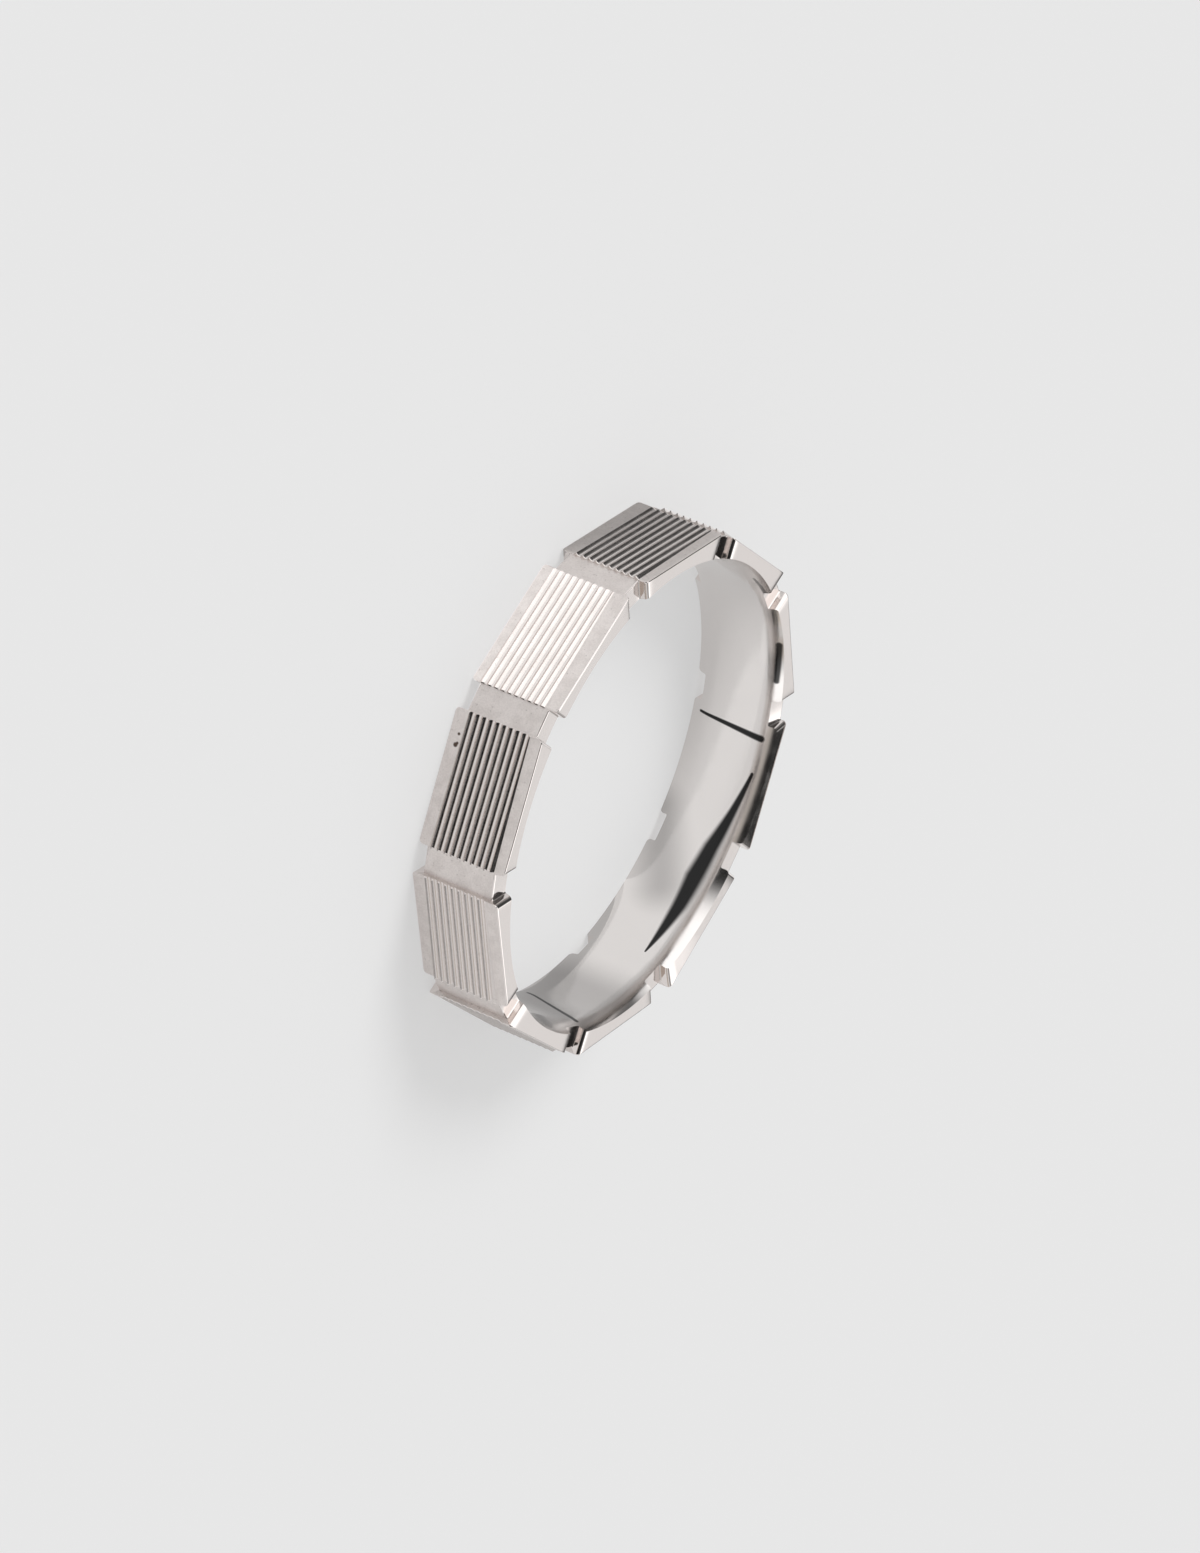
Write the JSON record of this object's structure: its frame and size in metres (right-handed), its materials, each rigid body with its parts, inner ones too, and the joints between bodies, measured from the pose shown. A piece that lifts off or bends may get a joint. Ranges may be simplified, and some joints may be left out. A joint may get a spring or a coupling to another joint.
{
  "type": "panel ring",
  "caption": "Finger ring of polished pale metal: a round smooth bore inside flat fluted panels with narrow necks between them.",
  "frame": {"origin": "bottom centre of the bounding box: the ring lies on its side, its lower side faces on Z = 0", "axes": "+Z along the ring's axis, through the finger hole; +X through the middle of one panel"},
  "size_m": [0.019, 0.0196, 0.0035],
  "materials": {
    "polished_metal": "polished"
  },
  "bodies": {
    "root": {"band": "polished_metal"}
  },
  "joints": []
}
